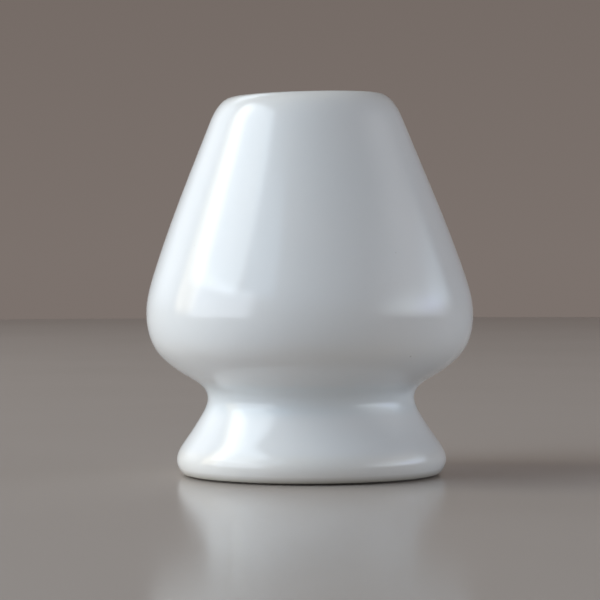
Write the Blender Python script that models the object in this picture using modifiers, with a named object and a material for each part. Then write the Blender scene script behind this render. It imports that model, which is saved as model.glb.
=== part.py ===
"""A porcelain whisk holder: the turned, hollow stand that a bamboo matcha whisk dries on.

Three solids, one inside the other: the slip-cast porcelain body, the glaze coat on its outside and
the liner glaze on its inside. The holder is open from the mouth down through the foot.
It stands on Z = 0 with its axis on Z. Lengths are in millimetres until a mesh is made.
"""
from collections import namedtuple
import math

import bpy
from mathutils import Vector
from mathutils.geometry import interpolate_bezier

# Driving dimensions, in millimetres.
HEIGHT = 75.0
LIP_CROWN_RADIUS = 14.3      # the highest circle of the lip
MOUTH_RADIUS = 12.0          # the narrowest circle, just inside the lip
MOUTH_DEPTH = 2.1            # from the crown down to that circle
SHOULDER_RADIUS = 32.3
SHOULDER_HEIGHT = 32.6
WAIST_RADIUS = 20.4
WAIST_HEIGHT = 15.4
FOOT_RADIUS = 26.7
FOOT_EDGE_HEIGHT = 3.1
HEEL_RADIUS = 24.2           # where the foot's rounded edge meets the table
RING_INNER_RADIUS = 21.4
WALL = 4.3                   # glaze to glaze
COAT = 0.35                  # thickness of a glaze coat
GAP = 0.3                    # between the body and a coat
GLAZE_STOP = 0.55            # height above the table at which both coats end
COAT_SEAM = 0.6              # between the edges of the two coats, inside the mouth
LAND_TAPER = 0.2             # how far the bare ring narrows on its way down to the table

SEGMENTS = 40                # around the axis
TURN_PER_STEP = math.radians(15.0)
LONGEST_STEP = 9.5
METRE = 0.001                # metres in a millimetre

# A place on the glazed surface. Heading is the way that the outline leaves it, in degrees from
# level and outward. Roundness is the length of the curve's handles up to the next place, as a
# share of the straight distance there: about 0.39 makes a quarter circle.
Place = namedtuple("Place", "radius height heading roundness")
PLAIN_BEND = 0.33            # the roundness of a bend that has no other

MOUTH = Place(MOUTH_RADIUS, HEIGHT - MOUTH_DEPTH, 90, 0.38)
CROWN = Place(LIP_CROWN_RADIUS, HEIGHT, 0, PLAIN_BEND)
CONE_TOP = Place(19.4, 69.1, -69, 0.16)
SHOULDER = Place(SHOULDER_RADIUS, SHOULDER_HEIGHT, -90, 0.45)
UNDERSIDE = Place(24.9, 19.9, -148, 0.35)
WAIST = Place(WAIST_RADIUS, WAIST_HEIGHT, -90, 0.25)
FLARE = Place(24.0, 8.2, -56, 0.29)
FOOT_EDGE = Place(FOOT_RADIUS, FOOT_EDGE_HEIGHT, -90, 0.37)
HEEL = Place(HEEL_RADIUS, 0.0, -180, PLAIN_BEND)

# The outside runs from the mouth over the lip and down to the table. Between the top of the cone
# and the flare of the foot the inside follows it, one wall thickness away.
OUTSIDE = [MOUTH, CROWN, CONE_TOP, SHOULDER, UNDERSIDE, WAIST, FLARE, FOOT_EDGE, HEEL]
FOLLOWED = [CONE_TOP, SHOULDER, UNDERSIDE, WAIST, FLARE]

Surface = namedtuple("Surface", "colour roughness")
BISCUIT = Surface((0.80, 0.77, 0.71), 0.75)
WHITE_GLAZE = Surface((0.84, 0.85, 0.86), 0.12)
LINER_GLAZE = Surface((0.80, 0.81, 0.81), 0.18)


def way(heading):
    """The unit vector of a heading, in the plane of radius and height."""
    angle = math.radians(heading)
    return Vector((math.cos(angle), math.sin(angle)))


def across_wall(place, roundness):
    """The place on the inside that faces a place on the outside, and leads back up."""
    along = way(place.heading) * WALL
    back_up = place.heading + 180
    return Place(place.radius + along.y, place.height - along.x, back_up, roundness)


def inside():
    """The inside, from the foot ring up to the mouth."""
    places = [Place(RING_INNER_RADIUS, 0.0, 90, PLAIN_BEND)]
    for index in reversed(range(len(FOLLOWED))):
        roundness = FOLLOWED[index - 1].roundness if index else PLAIN_BEND
        places.append(across_wall(FOLLOWED[index], roundness))
    return places + [MOUTH]


def curve(places):
    """Points along the smooth outline through the places."""
    points = []
    for start, end in zip(places, places[1:]):
        a = Vector((start.radius, start.height))
        b = Vector((end.radius, end.height))
        reach = (b - a).length * start.roundness
        turn = abs(math.radians((end.heading - start.heading + 180) % 360 - 180))
        steps = max(2, round(turn / TURN_PER_STEP), round((b - a).length / LONGEST_STEP))
        handles = (a + way(start.heading) * reach, b - way(end.heading) * reach)
        span = interpolate_bezier(a, handles[0], handles[1], b, steps + 1)
        points.extend(span[1:] if points else span)
    return points


def sunk(points, depth):
    """The outline moved into the wall, which lies on its right-hand side."""
    moved = []
    last = len(points) - 1
    for index, point in enumerate(points):
        before = (point - points[max(index - 1, 0)]).normalized()
        after = (points[min(index + 1, last)] - point).normalized()
        along = (before + after).normalized()
        mitre = max(before.dot(along), after.dot(along))
        moved.append(point + Vector((along.y, -along.x)) * depth / mitre)
    return moved


def cut_level(points, height):
    """The outline without its stretch below a height, ended by a point at that height."""
    kept = []
    for a, b in zip(points, points[1:]):
        if a.y >= height:
            kept.append(a)
        if (a.y - height) * (b.y - height) < 0:
            kept.append(a.lerp(b, (height - a.y) / (b.y - a.y)))
    if points[-1].y >= height:
        kept.append(points[-1])
    return kept


def profile(name, points, closed):
    """A line of points in the XZ plane, as a mesh of edges, in metres."""
    corners = [(point.x * METRE, 0.0, point.y * METRE) for point in points]
    count = len(corners)
    edges = [(index, (index + 1) % count) for index in range(count if closed else count - 1)]
    mesh = bpy.data.meshes.new(name)
    mesh.from_pydata(corners, edges, [])
    return mesh


def turn(name, points, closed, parts, axis):
    """Turn a profile about Z into an object that stands on the axis empty."""
    solid = bpy.data.objects.new(name, profile(name, points, closed))
    parts.objects.link(solid)
    solid.parent = axis
    screw = solid.modifiers.new("turn", "SCREW")
    screw.axis = "Z"
    screw.angle = math.tau
    screw.steps = SEGMENTS
    screw.render_steps = SEGMENTS
    screw.use_merge_vertices = True
    screw.merge_threshold = 0.00001
    screw.use_smooth_shade = True
    return solid


def thicken(coat):
    """Give a coat its thickness, measured from its glossy face towards the body."""
    shell = coat.modifiers.new("thickness", "SOLIDIFY")
    shell.thickness = COAT * METRE
    shell.offset = -1.0
    shell.use_even_offset = True


def finish(solid, surface):
    """Give a solid its material, named after it."""
    material = bpy.data.materials.new(solid.name)
    material.use_nodes = True
    shader = material.node_tree.nodes["Principled BSDF"]
    shader.inputs["Base Color"].default_value = (*surface.colour, 1.0)
    shader.inputs["Roughness"].default_value = surface.roughness
    shader.inputs["Metallic"].default_value = 0.0
    material.diffuse_color = (*surface.colour, 1.0)
    solid.data.materials.append(material)


def porcelain_body(parts, axis):
    """The fired clay wall, sunk under both coats, with the bare ring that it stands on."""
    outer = sunk(curve(OUTSIDE), COAT + GAP)
    inner = sunk(curve(inside()), COAT + GAP)
    ring = [Vector((outer[-1].x - LAND_TAPER, 0.0)), Vector((inner[0].x, 0.0))]
    body = turn("porcelain_body", outer + ring + inner[1:-1], True, parts, axis)
    finish(body, BISCUIT)


def outer_glaze(parts, axis):
    """The glaze from just inside the mouth, over the lip and down to the foot."""
    coat = turn("outer_glaze", cut_level(curve(OUTSIDE), GLAZE_STOP), False, parts, axis)
    thicken(coat)
    finish(coat, WHITE_GLAZE)


def inner_glaze(parts, axis):
    """The liner glaze from the foot up to just below the edge of the outer coat."""
    line = cut_level(curve(inside()), GLAZE_STOP)
    line[-1] = line[-1] + (line[-2] - line[-1]).normalized() * COAT_SEAM
    coat = turn("inner_glaze", line, False, parts, axis)
    thicken(coat)
    finish(coat, LINER_GLAZE)


def main():
    for old in list(bpy.data.objects):
        bpy.data.objects.remove(old)
    parts = bpy.data.collections.new("whisk_holder")
    bpy.context.scene.collection.children.link(parts)
    axis = bpy.data.objects.new("whisk_holder_axis", None)
    parts.objects.link(axis)
    porcelain_body(parts, axis)
    outer_glaze(parts, axis)
    inner_glaze(parts, axis)


main()
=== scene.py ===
"""The look of the porcelain matcha whisk holder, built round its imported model.

The three turned CAD solids give the outlines. Each is drawn again here as a fine closed mesh, with
what the kiln does to a thin pot: a slight lean, a lip that isn't quite level, glaze that pools in
the waist and thins over the edges, and a bare ring at the foot. Lengths are in metres.
"""

import math

import bpy
import numpy as np
from mathutils import Matrix, Vector


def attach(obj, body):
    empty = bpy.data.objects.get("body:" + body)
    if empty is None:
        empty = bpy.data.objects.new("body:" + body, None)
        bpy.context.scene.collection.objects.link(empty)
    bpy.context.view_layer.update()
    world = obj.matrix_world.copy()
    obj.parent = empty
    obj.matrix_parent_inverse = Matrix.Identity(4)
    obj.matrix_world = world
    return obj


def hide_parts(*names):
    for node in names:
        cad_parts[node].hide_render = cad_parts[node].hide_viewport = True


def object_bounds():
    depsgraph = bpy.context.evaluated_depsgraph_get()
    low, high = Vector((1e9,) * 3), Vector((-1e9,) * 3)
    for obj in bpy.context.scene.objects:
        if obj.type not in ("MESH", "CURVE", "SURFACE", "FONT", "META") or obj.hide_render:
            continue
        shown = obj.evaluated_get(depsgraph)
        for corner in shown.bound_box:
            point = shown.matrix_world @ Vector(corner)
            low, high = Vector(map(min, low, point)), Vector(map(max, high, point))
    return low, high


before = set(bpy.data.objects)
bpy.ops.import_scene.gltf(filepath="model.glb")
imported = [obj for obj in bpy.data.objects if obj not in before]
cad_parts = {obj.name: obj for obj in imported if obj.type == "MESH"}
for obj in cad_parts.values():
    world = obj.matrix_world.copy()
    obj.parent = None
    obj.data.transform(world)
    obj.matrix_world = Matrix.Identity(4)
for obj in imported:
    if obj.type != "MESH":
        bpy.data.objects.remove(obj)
cad_low, cad_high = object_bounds()
HEIGHT = cad_high.z

# How finely the meshes are drawn.
SEGMENTS = 256               # around the axis
STEP = 0.00045               # along a glossy outline
HIDDEN_STEP = 0.0012         # along a face that another piece covers
EDGE_STEPS = 6               # round a small rounded edge
HEEL_STEPS = 10              # on the clay's turn from the glaze's edge down to the table
SPLINE_STEPS = 40            # for each point of a line, before its curve is spaced evenly
CAD_DIGITS = 7               # to which the corners of a CAD mesh are matched
ON_PLANE = 0.000001          # a CAD corner closer than this to the XZ plane is on it
FLAT = 0.00005               # a point lower than this is on the table

# The glaze and the clay.
COAT = 0.00035               # thickness of a coat
COAT_OVERLAP = 0.0006        # how far the liner runs up under the outer coat, inside the mouth
LINER_DIP = 0.00012          # how far it lies under it there
BEAD = 0.00011               # how far the glaze swells where it was wiped off above the foot ring
BEAD_WIDTH = 0.0011
OUTER_SOFTENING = 0.0006     # the reach over which the outer glaze rounds off kinks
INNER_SOFTENING = 0.0005
BODY_DEPTH = 0.00027         # of the clay below the glossy face; less than COAT, so no gap shows
BARE_DEPTH = 0.00012         # of the clay below the glossy face at the glaze's lower edge
RING_ROUNDING = 0.00035      # of the foot ring's inner edge
POOLING_REACH = 0.0009       # the reach over which the glaze runs together
POOLING_RADIUS = 0.006       # a hollow bent this tightly is full of glaze, and an edge has lost it

# What the kiln did to the shape.
LEAN = 0.00085               # of the crown, towards -X
LEAN_POWER = 1.7
LIP_TILT = 0.0245            # slope of the lip, which is higher on +X
LIP_TILT_START = 0.73        # as a share of the height
OVALNESS = 0.00006           # at the lip
OVAL_TURN = 0.6              # of the oval's long axis from +X, in radians
WOBBLE = 0.00003             # at half the height
WOBBLE_WAVES = 3             # around the axis
WOBBLE_TWIST = 5.0           # from foot to lip, in radians


# --------------------------------------------------------------- outlines read from the CAD solids

def cad_loop(node):
    """The closed outline of a turned node where it crosses the XZ plane on +X: (radius, height)."""
    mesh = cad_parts[node].data
    places = [tuple(round(c, CAD_DIGITS) for c in vertex.co) for vertex in mesh.vertices]
    links = {}
    for edge in mesh.edges:
        a, b = (places[index] for index in edge.vertices)
        if a != b and all(abs(p[1]) < ON_PLANE and p[0] > 0 for p in (a, b)):
            links.setdefault(a, set()).add(b)
            links.setdefault(b, set()).add(a)
    loop = [max(links, key=lambda p: p[2])]
    while len(loop) < len(links):
        onward = [p for p in links[loop[-1]] if p not in loop[-2:]]
        loop.append(max(onward, key=lambda p: p[0]) if len(loop) == 1 else onward[0])
    return np.array([(x, z) for x, _, z in loop])


def corner_angles(loop):
    """How sharply a closed loop turns at each of its points."""
    before = loop - np.roll(loop, 1, axis=0)
    after = np.roll(loop, -1, axis=0) - loop
    cosine = (before * after).sum(1) / np.hypot(*before.T) / np.hypot(*after.T)
    return np.arccos(np.clip(cosine, -1, 1))


def glossy_line(node, widest):
    """The glossy side of a coat's outline, which runs down outside or up inside the holder.

    The coat's two edges are the short stretches between its four sharpest corners. Of the two
    long sides, the glossy one reaches the largest radius outside, and the smallest inside.
    """
    loop = cad_loop(node)
    corners = sorted(np.argsort(corner_angles(loop))[-4:])
    loop = np.roll(loop, -corners[0], axis=0)
    corners = [corner - corners[0] for corner in corners] + [len(loop)]
    closed = np.vstack([loop, loop[:1]])
    sides = [closed[a:b + 1] for a, b in zip(corners, corners[1:])]
    sides = sorted(sides, key=len)[-2:]
    reach = [side[:, 0].max() if widest else -side[:, 0].min() for side in sides]
    line = sides[int(np.argmax(reach))]
    runs_down = line[0, 1] > line[-1, 1]
    return line if runs_down == widest else line[::-1]


# -------------------------------------------------------------------------------- work on outlines

def lengths(line):
    """The distance along a line to each of its points."""
    return np.concatenate([[0.0], np.cumsum(np.hypot(*np.diff(line, axis=0).T))])


def evenly(line, step):
    """The line with points a step apart."""
    along = lengths(line)
    count = max(2, round(along[-1] / step) + 1)
    places = np.linspace(0, along[-1], count)
    return np.column_stack([np.interp(places, along, column) for column in line.T])


def smooth_curve(line, step):
    """Points a step apart on the natural cubic spline through a line's points."""
    t = lengths(line)
    gap = np.diff(t)
    count = len(line)
    system = np.eye(count)
    wanted = np.zeros((count, 2))
    slope = np.diff(line, axis=0) / gap[:, None]
    for i in range(1, count - 1):
        system[i, i - 1:i + 2] = gap[i - 1], 2 * (gap[i - 1] + gap[i]), gap[i]
        wanted[i] = 6 * (slope[i] - slope[i - 1])
    bend = np.linalg.solve(system, wanted)
    fine = np.linspace(0, t[-1], SPLINE_STEPS * count)
    i = np.clip(np.searchsorted(t, fine) - 1, 0, count - 2)
    left = ((fine - t[i]) / gap[i])[:, None]
    right = 1 - left
    arch = (gap[i] ** 2 / 6)[:, None]
    curve = right * line[i] + left * line[i + 1]
    curve += arch * ((right ** 3 - right) * bend[i] + (left ** 3 - left) * bend[i + 1])
    return evenly(curve, step)


def softened(line, reach):
    """The line with its kinks averaged out over a reach along it. Its ends stay.

    The weights of the average are a bell curve, cut off at three times the reach.
    """
    step = lengths(line)[-1] / (len(line) - 1)
    half = max(1, round(3 * reach / step))
    weights = np.exp(-0.5 * (np.arange(-half, half + 1) * step / reach) ** 2)
    weights /= weights.sum()
    start = 2 * line[0] - line[half:0:-1]
    end = 2 * line[-1] - line[-2:-half - 2:-1]
    padded = np.vstack([start, line, end])
    return np.column_stack([np.convolve(column, weights, "valid") for column in padded.T])


def inward(line):
    """The unit vector into the wall at each point. The wall is on the line's right-hand side."""
    along = np.gradient(line, axis=0)
    along /= np.hypot(*along.T)[:, None]
    return np.column_stack([along[:, 1], -along[:, 0]])


def sunk(line, depth):
    """The line moved into the wall."""
    return line + inward(line) * depth


def bend_of(line):
    """The curvature along a line: positive where it is hollow, negative where it bulges."""
    along = np.gradient(line, axis=0)
    heading = np.unwrap(np.arctan2(along[:, 1], along[:, 0]))
    return np.gradient(heading, lengths(line))


def round_edge(start, end):
    """Points on the half circle that closes a coat between its two sides."""
    centre, arm = (start + end) / 2, (start - end) / 2
    across = np.array([arm[1], -arm[0]])
    angles = np.linspace(0, math.pi, EDGE_STEPS + 1)[1:-1, None]
    return centre + np.cos(angles) * arm + np.sin(angles) * across


def coat_loop(line, thickness):
    """A coat's closed outline: its glossy line, a round edge, its hidden side and a round edge."""
    hidden = evenly(sunk(line, thickness), HIDDEN_STEP)[::-1]
    edges = round_edge(line[-1], hidden[0]), round_edge(hidden[-1], line[0])
    return np.vstack([line, edges[0], hidden, edges[1]])


# ---------------------------------------------------------------------------- solids of revolution

def as_fired(points):
    """Where the kiln left each point of a perfectly round and upright holder."""
    x, y, z = points.T
    share = z / HEIGHT
    angle = np.arctan2(y, x)
    radius = np.hypot(x, y)
    out = OVALNESS * share * np.cos(2 * (angle - OVAL_TURN))
    out += WOBBLE * np.cos(WOBBLE_WAVES * angle + WOBBLE_TWIST * share) * np.sin(math.pi * share)
    rise = np.clip((share - LIP_TILT_START) / (1 - LIP_TILT_START), 0, 1) ** 2
    x_new = x + out * x / radius - LEAN * share ** LEAN_POWER
    y_new = y + out * y / radius
    z_new = z + LIP_TILT * rise * x
    return np.column_stack([x_new, y_new, z_new])


def turned(name, loop, pooling=None):
    """A closed mesh: the loop carried round the axis. Pooling is kept as the glaze's thickness."""
    angles = np.arange(SEGMENTS) * math.tau / SEGMENTS
    radius, height = loop[:, None, 0], loop[:, None, 1]
    across = radius * np.cos(angles), radius * np.sin(angles)
    points = np.stack(np.broadcast_arrays(*across, height), axis=-1).reshape(-1, 3)
    row, column = np.meshgrid(np.arange(len(loop)), np.arange(SEGMENTS), indexing="ij")
    this, onward = row * SEGMENTS, (row + 1) % len(loop) * SEGMENTS
    beside = (column + 1) % SEGMENTS
    faces = np.stack([this + column, onward + column, onward + beside, this + beside], axis=-1)
    mesh = bpy.data.meshes.new(name)
    mesh.from_pydata(as_fired(points).tolist(), [], faces.reshape(-1, 4).tolist())
    mesh.shade_smooth()
    if pooling is not None:
        glaze = mesh.attributes.new("pooling", "FLOAT", "POINT")
        glaze.data.foreach_set("value", np.repeat(pooling, SEGMENTS).astype(np.float32))
    piece = bpy.data.objects.new(name, mesh)
    bpy.context.scene.collection.objects.link(piece)
    return piece


def pooling_of(line, loop):
    """How thick the glaze lies at each point of a coat's loop, from -1 on edges to 1 in hollows."""
    bend = np.column_stack([bend_of(line), np.zeros(len(line))])
    pool = np.clip(softened(bend, POOLING_REACH)[:, 0] * POOLING_RADIUS, -1, 1)
    return np.concatenate([pool, np.full(len(loop) - len(line), pool[-1])])


# --------------------------------------------------------------------------------------- materials

def add(tree, kind, inputs=None, **settings):
    """A shader node. An input is a value or another node's output."""
    node = tree.nodes.new(kind)
    for name, value in settings.items():
        setattr(node, name, value)
    for name, value in (inputs or {}).items():
        if isinstance(value, bpy.types.NodeSocket):
            tree.links.new(value, node.inputs[name])
        else:
            node.inputs[name].default_value = value
    return node


def noise(tree, place, per_metre, detail):
    """Soft random patches, from 0 to 1."""
    inputs = {"Vector": place, "Scale": per_metre, "Detail": detail}
    return add(tree, "ShaderNodeTexNoise", inputs).outputs["Fac"]


def between(tree, value, low, high, to_low=0.0, to_high=1.0):
    """The value carried from one range to another, and kept inside it."""
    inputs = {"Value": value, "From Min": low, "From Max": high, "To Min": to_low, "To Max": to_high}
    return add(tree, "ShaderNodeMapRange", inputs).outputs["Result"]


def mixed(tree, factor, a, b):
    """One colour turning into another."""
    node = add(tree, "ShaderNodeMix", data_type="RGBA")
    for socket, value in ((node.inputs[0], factor), (node.inputs[6], a), (node.inputs[7], b)):
        if isinstance(value, bpy.types.NodeSocket):
            tree.links.new(value, socket)
        else:
            socket.default_value = value if isinstance(value, float) else (*value, 1.0)
    return node.outputs[2]


def bumped(tree, layers):
    """A normal from layers of (height, depth in metres)."""
    normal = None
    for height, depth in layers:
        node = add(tree, "ShaderNodeBump", {"Height": height, "Distance": depth})
        if normal is not None:
            tree.links.new(normal, node.inputs["Normal"])
        normal = node.outputs["Normal"]
    return normal


def new_material(name):
    """A material, its nodes, its shader and the place on the object that they are asked about."""
    material = bpy.data.materials.new(name)
    material.use_nodes = True
    tree = material.node_tree
    shader = tree.nodes["Principled BSDF"]
    place = add(tree, "ShaderNodeTexCoord").outputs["Object"]
    return material, tree, shader, place


def connect(tree, shader, **outputs):
    """Link outputs to the shader's sockets. A keyword is a socket's name with _ for a space."""
    for name, output in outputs.items():
        tree.links.new(output, shader.inputs[name.replace("_", " ")])


def height_in(tree, place):
    """The height above the table."""
    return add(tree, "ShaderNodeSeparateXYZ", {"Vector": place}).outputs["Z"]


# A pair is the two values between which one look turns into the next. Noises are given by how
# many patches they have in a metre and by how many finer layers lie on top of them.
CLOUDS = 55.0, 3.0                   # patches in the glaze's tone and gloss
CLOUDED = 0.35, 0.75                 # from usual glaze to a patch that looks pooled
CLOUD_SHARE = 0.35                   # of the pooled colour, at most
HALF_WAY = 0.3, 0.7                  # across the middle of a noise
SWELLS = 95.0, 1.0                   # slow waves in the surface
SWELL_DEPTH = 0.00002
PEEL = 420.0, 1.0                    # the fine ripple of a fired glaze
PEEL_DEPTH = 0.000004
SPECKS = 95.0                        # cells in a metre, each with a speck in the middle
SPECK_EDGE = 0.022, 0.012            # from the middle of its cell, in cells
SPECK_DEPTH = 0.00003
SPECK_SHARE = 0.35
SPECK_COLOUR = (0.33, 0.29, 0.25)
POOLED = 0.05, 0.9                   # glaze that is thicker than usual
THINNED = -0.25, -1.0                # glaze that is thinner than usual
FOOT_SHADE_HEIGHTS = 0.0017, 0.0006               # heights over which the glaze above the foot ring turns to painted shade, darker towards the table
FOOT_SHADE_SHARE = 0.9
FOOT_SHADE_COLOUR = (0.50, 0.47, 0.41)
GLOSSIER, DULLER = 0.02, 0.03        # how far the roughness strays
GLAZE_IOR = 1.52

GLAZE_SHADES = {                     # of usual, thin and pooled glaze
    "white_glaze": ((0.845, 0.85, 0.85), (0.86, 0.845, 0.815), (0.79, 0.825, 0.84)),
    "liner_glaze": ((0.82, 0.82, 0.81), (0.83, 0.81, 0.775), (0.75, 0.78, 0.79)),
}


def glaze_material(name, roughness, ripple):
    """A clear gloss over white clay: warm where it is thin, cool where it pools, faintly rippled."""
    material, tree, shader, place = new_material(name)
    usual, thin, pooled = GLAZE_SHADES[name]
    pooling = add(tree, "ShaderNodeAttribute", attribute_name="pooling").outputs["Fac"]
    cloud = noise(tree, place, *CLOUDS)
    swell = noise(tree, place, *SWELLS)
    peel = noise(tree, place, *PEEL)
    cells = add(tree, "ShaderNodeTexVoronoi", {"Vector": place, "Scale": SPECKS}).outputs["Distance"]
    speck = between(tree, cells, *SPECK_EDGE)
    # painted shade: the glaze darkens towards the table just above the foot ring
    foot_shade = between(tree, height_in(tree, place), *FOOT_SHADE_HEIGHTS, 0.0, FOOT_SHADE_SHARE)
    colour = mixed(tree, between(tree, pooling, *POOLED), usual, pooled)
    colour = mixed(tree, between(tree, pooling, *THINNED), colour, thin)
    colour = mixed(tree, between(tree, cloud, *CLOUDED, 0.0, CLOUD_SHARE), colour, pooled)
    colour = mixed(tree, between(tree, speck, 0.0, 1.0, 0.0, SPECK_SHARE), colour, SPECK_COLOUR)
    colour = mixed(tree, foot_shade, colour, FOOT_SHADE_COLOUR)
    gloss = between(tree, cloud, *HALF_WAY, roughness - GLOSSIER, roughness + DULLER)
    layers = [(swell, SWELL_DEPTH * ripple), (peel, PEEL_DEPTH * ripple), (speck, -SPECK_DEPTH)]
    connect(tree, shader, Base_Color=colour, Roughness=gloss, Normal=bumped(tree, layers))
    shader.inputs["IOR"].default_value = GLAZE_IOR
    return material


CLAY_CLOUDS = 260.0, 3.0             # patches in the clay's tone
CLAY_CLOUD_DEPTH = 0.00002
CLAY_SHADES = (0.80, 0.765, 0.70), (0.74, 0.70, 0.63)
GRAIN = 5200.0, 2.0                  # the clay's own grain
GRAIN_DEPTH = 0.000012
WEAR_AND_SHADE_NOISE = 900.0, 4.0                    # small worn patches, which also vary the painted shade under the foot
RUBBED = 0.58, 0.72                  # from clean clay to a worn patch
RUBBED_SHARE = 0.5
RUBBED_COLOUR = (0.50, 0.47, 0.43)
# Painted shade: the clay of the heel turns dark towards the table, where the recess under the glaze is
# in shade.
PAINTED_SHADE_PATCHES = 0.35, 0.65           # from the darker painted shade to the lighter one
PAINTED_SHADE_TONES = (0.09, 0.08, 0.07), (0.19, 0.17, 0.145)
PAINTED_SHADE_HEIGHTS = 0.00055, 0.00025           # heights from the clean clay down to the clay darkened by painted shade
PAINTED_SHADE_SHARE = 0.85
STANDING = 0.00004, 0.00001          # heights from the painted shade down to the ring that is on the table
STANDING_SHARE = 0.6
STANDING_COLOUR = (0.60, 0.565, 0.51)
CLAY_ROUGHNESS = 0.66, 0.82
CLAY_IOR = 1.5


def biscuit_material():
    """Bare porcelain: matt, faintly grainy, with painted shade under the foot, rubbed clean where it
    stands.
    """
    material, tree, shader, place = new_material("bare_porcelain")
    grain = noise(tree, place, *GRAIN)
    cloud = noise(tree, place, *CLAY_CLOUDS)
    wear_and_shade_patches = noise(tree, place, *WEAR_AND_SHADE_NOISE)
    height = height_in(tree, place)
    painted_shade = mixed(tree, between(tree, wear_and_shade_patches, *PAINTED_SHADE_PATCHES), *PAINTED_SHADE_TONES)
    rubbed = between(tree, wear_and_shade_patches, *RUBBED, 0.0, RUBBED_SHARE)
    painted_shade_mask = between(tree, height, *PAINTED_SHADE_HEIGHTS, 0.0, PAINTED_SHADE_SHARE)
    standing = between(tree, height, *STANDING, 0.0, STANDING_SHARE)
    colour = mixed(tree, between(tree, cloud, *HALF_WAY), *CLAY_SHADES)
    colour = mixed(tree, rubbed, colour, RUBBED_COLOUR)
    # painted shade: the clay darkens towards the table under the foot
    colour = mixed(tree, painted_shade_mask, colour, painted_shade)
    colour = mixed(tree, standing, colour, STANDING_COLOUR)
    rough = between(tree, cloud, *HALF_WAY, *CLAY_ROUGHNESS)
    normal = bumped(tree, [(cloud, CLAY_CLOUD_DEPTH), (grain, GRAIN_DEPTH)])
    connect(tree, shader, Base_Color=colour, Roughness=rough, Normal=normal)
    shader.inputs["IOR"].default_value = CLAY_IOR
    return material


TABLE_CLOUDS = 9.0, 2.0              # wide, faint patches
TABLE_SHADES = (0.485, 0.438, 0.402), (0.47, 0.423, 0.387)
TABLE_ROUGHNESS = 0.15
TABLE_IOR = 1.7
TABLE_DULLNESS = 0.27                # the share of the table's light that is never mirrored


def table_material():
    """The plain pale surface that the holder stands on: satin, so it mirrors the foot softly."""
    material, tree, shader, place = new_material("pale_table")
    cloud = noise(tree, place, *TABLE_CLOUDS)
    colour = mixed(tree, between(tree, cloud, *HALF_WAY), *TABLE_SHADES)
    connect(tree, shader, Base_Color=colour)
    shader.inputs["Roughness"].default_value = TABLE_ROUGHNESS
    shader.inputs["IOR"].default_value = TABLE_IOR
    matt = add(tree, "ShaderNodeBsdfDiffuse", {"Color": colour})
    blend = add(tree, "ShaderNodeMixShader", {"Fac": TABLE_DULLNESS})
    tree.links.new(shader.outputs["BSDF"], blend.inputs[1])
    tree.links.new(matt.outputs["BSDF"], blend.inputs[2])
    tree.links.new(blend.outputs["Shader"], tree.nodes["Material Output"].inputs["Surface"])
    return material


# ------------------------------------------------------------------------------------------ pieces

def settle(piece, node, material):
    """Put a finished piece in the place of its CAD node."""
    piece.data.materials.append(material)
    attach(piece, "root")
    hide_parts(node)


outside = softened(smooth_curve(glossy_line("outer_glaze", True), STEP), OUTER_SOFTENING)
inside = smooth_curve(glossy_line("inner_glaze", False), STEP)


def outer_glaze():
    """The coat from just inside the mouth, over the lip and down to the foot."""
    from_foot = lengths(outside)[-1] - lengths(outside)
    share = np.clip(1 - from_foot / BEAD_WIDTH, 0, 1)
    bead = BEAD * share ** 2 * (3 - 2 * share)
    loop = coat_loop(outside - inward(outside) * bead[:, None], COAT)
    piece = turned("outer_glaze_coat", loop, pooling_of(outside, loop))
    settle(piece, "outer_glaze", glaze_material("white_glaze", roughness=0.09, ripple=1.0))


def inner_glaze():
    """The liner from the foot up to the mouth, where it runs on under the outer coat."""
    mouth = sunk(outside, LINER_DIP)
    mouth = mouth[lengths(mouth) < COAT_OVERLAP]
    line = softened(evenly(np.vstack([inside, mouth]), STEP), INNER_SOFTENING)
    loop = coat_loop(line, COAT)
    piece = turned("inner_glaze_coat", loop, pooling_of(line, loop))
    settle(piece, "inner_glaze", glaze_material("liner_glaze", roughness=0.13, ripple=2.0))


def quarter_turn(start, end, steps):
    """Points on a quarter of an ellipse, level at its start and upright at its end."""
    angles = np.linspace(0, math.pi / 2, steps)[:, None]
    return start + (end - start) * np.hstack([np.sin(angles), 1 - np.cos(angles)])


def porcelain_body():
    """The clay wall between the coats, bare only at the ring that it stands on.

    Below the outer coat it goes in under the foot and turns down to the table. The ring's inner
    edge is rounded, up to where the liner starts.
    """
    body = cad_loop("porcelain_body")
    ring = body[body[:, 1] < FLAT][:, 0]
    heel = quarter_turn(sunk(outside, BARE_DEPTH)[-1], np.array([ring.max(), 0.0]), HEEL_STEPS)
    ring_end = np.array([ring.min() + RING_ROUNDING, 0.0])
    corner = quarter_turn(ring_end, np.array([ring.min(), RING_ROUNDING]), EDGE_STEPS)
    outer = evenly(sunk(outside, BODY_DEPTH), HIDDEN_STEP)
    inner = evenly(sunk(inside, BODY_DEPTH), HIDDEN_STEP)
    piece = turned("porcelain_body_bare", np.vstack([outer[:-1], heel, corner, inner]))
    settle(piece, "porcelain_body", biscuit_material())


# ---------------------------------------------------------------------------- table, light, camera

TABLE_RADIUS = 1.2
TABLE_THICKNESS = 0.02
TABLE_SIDES = 96


def table():
    """A large round table top, its surface at the foot ring."""
    turns = [math.tau * side / TABLE_SIDES for side in range(TABLE_SIDES)]
    rim = [(TABLE_RADIUS * math.cos(turn), TABLE_RADIUS * math.sin(turn)) for turn in turns]
    corners = [(x, y, z) for z in (0.0, -TABLE_THICKNESS) for x, y in rim]
    top, bottom = list(range(TABLE_SIDES)), list(range(TABLE_SIDES, 2 * TABLE_SIDES))
    sides = [(top[i - 1], bottom[i - 1], bottom[i], top[i]) for i in top]
    mesh = bpy.data.meshes.new("table_top")
    mesh.from_pydata(corners, [], [top, bottom[::-1]] + sides)
    mesh.materials.append(table_material())
    table_top = bpy.data.objects.new("table_top", mesh)
    bpy.context.scene.collection.objects.link(table_top)


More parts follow.
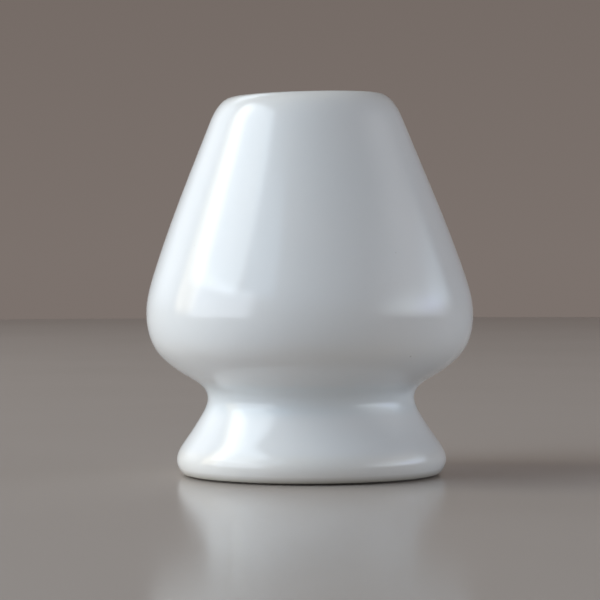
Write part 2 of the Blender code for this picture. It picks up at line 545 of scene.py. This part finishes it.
LIGHT_AWAY = 1.3
GLARE_BELOW = 15                     # a box that reaches lower than this isn't mirrored in the table
SOFT_BOXES = {                       # azimuth, elevation, width, height, edge, brightness
    "window_low": (-66, 11, 60, 36, 0.20, (2.33, 2.57, 2.87)),
    "window_high": (-78, 38, 50, 37, 0.16, (3.14, 3.63, 4.01)),
    "window_near": (-38, 33, 28, 30, 0.25, (0.75, 1.08, 1.41)),
    "window_pane": (-98, 25, 26, 58, 0.25, (2.28, 1.98, 1.42)),
    "window_back": (-128, 22, 46, 50, 0.40, (0.86, 0.90, 0.96)),
    "window_behind": (-150, 45, 34, 26, 0.35, (1.55, 1.75, 1.95)),
    "fill_right": (80, 10, 84, 36, 0.50, (2.75, 3.10, 3.30)),
    "fill_right_core": (92, 9, 44, 24, 0.50, (0.05, 0.10, 0.85)),
    "fill_right_back": (106, 16, 36, 24, 0.40, (0.75, 0.98, 1.18)),
    "fill_right_top": (84, 28, 76, 32, 0.50, (1.11, 1.14, 1.19)),
}
WALL = (0.20, 0.168, 0.152)          # of the plain backdrop, where it meets the table
WALL_ABOVE = (0.06, 0.04, 0.03)      # further up
WALL_FADES = 0.7                     # how far up it has changed to that, as a sine


def faded_edge(tree, share, reach):
    """From 0 at both ends of a soft box to 1 once a share of it, the reach, has passed."""
    from_end = add(tree, "ShaderNodeMath", operation="PINGPONG")
    tree.links.new(share, from_end.inputs[0])
    from_end.inputs[1].default_value = 0.5
    inputs = {"Value": from_end.outputs[0], "From Max": reach}
    return add(tree, "ShaderNodeMapRange", inputs, interpolation_type="SMOOTHSTEP").outputs["Result"]


def soft_glow(name, width, height, edge, brightness):
    """The light of a soft box, which fades out over a share of its size, the edge, on each side."""
    glow = bpy.data.lights.new(name, "AREA")
    glow.shape = "RECTANGLE"
    glow.size = 2 * LIGHT_AWAY * math.tan(math.radians(width / 2))
    glow.size_y = 2 * LIGHT_AWAY * math.tan(math.radians(height / 2))
    glow.energy = math.pi * glow.size * glow.size_y * max(brightness)
    glow.color = [part / max(brightness) for part in brightness]
    glow.use_nodes = True
    tree = glow.node_tree
    place = add(tree, "ShaderNodeNewGeometry").outputs["Parametric"]
    shares = add(tree, "ShaderNodeSeparateXYZ", {"Vector": place})
    level = add(tree, "ShaderNodeMath", operation="MULTIPLY")
    for index, axis in enumerate("XY"):
        tree.links.new(faded_edge(tree, shares.outputs[axis], edge), level.inputs[index])
    tree.links.new(level.outputs[0], tree.nodes["Emission"].inputs["Strength"])
    return glow


def soft_box(name, azimuth, elevation, width, height, edge, brightness, lit):
    """A soft box that faces the holder, placed and sized in degrees as seen from there.

    Azimuth 0 is at the camera, 90 at +X and -90 at -X. Brightness is its radiance in each colour.
    It has one lamp for each collection that it lights, because the table is lit by every box, but
    mirrors only the high ones: seen from the other side, the low ones would wash it out.
    """
    turn, rise = math.radians(azimuth), math.radians(elevation)
    level = Vector((math.sin(turn), -math.cos(turn), 0.0))
    way = level * math.cos(rise) + Vector((0.0, 0.0, math.sin(rise)))
    glow = soft_glow(name, width, height, edge, brightness)
    for pieces in lit:
        lamp = bpy.data.objects.new(name + "_on_" + pieces.name, glow)
        lamp.location = Vector((0, 0, HEIGHT / 2)) + way * LIGHT_AWAY
        lamp.rotation_euler = way.to_track_quat("Z", "Y").to_euler()
        lamp.visible_camera = False
        lamp.visible_glossy = pieces.name != "table" or elevation - height / 2 > GLARE_BELOW
        lamp.light_linking.receiver_collection = pieces
        bpy.context.scene.collection.objects.link(lamp)


def collected(name, *pieces):
    """A collection of the objects that a lamp lights."""
    collection = bpy.data.collections.new(name)
    for piece in pieces:
        collection.objects.link(bpy.data.objects[piece])
    return collection


def lighting():
    """Soft boxes like a tall window on the left and a weaker one on the right, and the backdrop."""
    holder = collected("holder", "outer_glaze_coat", "inner_glaze_coat", "porcelain_body_bare")
    table_only = collected("table", "table_top")
    for name, box in SOFT_BOXES.items():
        soft_box(name, *box, lit=(holder, table_only))
    world = bpy.data.worlds.new("studio")
    world.use_nodes = True
    tree = world.node_tree
    way = add(tree, "ShaderNodeTexCoord").outputs["Generated"]
    rise = add(tree, "ShaderNodeSeparateXYZ", {"Vector": way}).outputs["Z"]
    colour = mixed(tree, between(tree, rise, 0.0, WALL_FADES), WALL, WALL_ABOVE)
    tree.links.new(colour, tree.nodes["Background"].inputs["Color"])
    bpy.context.scene.world = world


CAMERA_AWAY = 0.4909                 # from the axis, towards -Y
CAMERA_HEIGHT = 0.0437
CAMERA_ASIDE = -0.00214
CAMERA_AIM_HEIGHT = 0.03451          # where it looks, on the axis's plane
CAMERA_ROLL = math.radians(0.22)
LENS = 148.7                         # in millimetres, like the sensor
SENSOR_WIDTH = 36.0


def camera():
    """Low and a little to the left, looking almost level, through a long lens."""
    data = bpy.data.cameras.new("camera")
    data.lens = LENS
    data.sensor_width = SENSOR_WIDTH
    eye = bpy.data.objects.new("camera", data)
    place = Vector((CAMERA_ASIDE, -CAMERA_AWAY, CAMERA_HEIGHT))
    aim = Vector((CAMERA_ASIDE, 0.0, CAMERA_AIM_HEIGHT))
    level = (place - aim).to_track_quat("Z", "Y").to_matrix().to_4x4()
    eye.matrix_world = Matrix.Translation(place) @ level @ Matrix.Rotation(-CAMERA_ROLL, 4, "Z")
    bpy.context.scene.collection.objects.link(eye)
    bpy.context.scene.camera = eye


outer_glaze()
inner_glaze()
porcelain_body()
table()
lighting()
camera()
bpy.context.scene.view_settings.view_transform = "Standard"
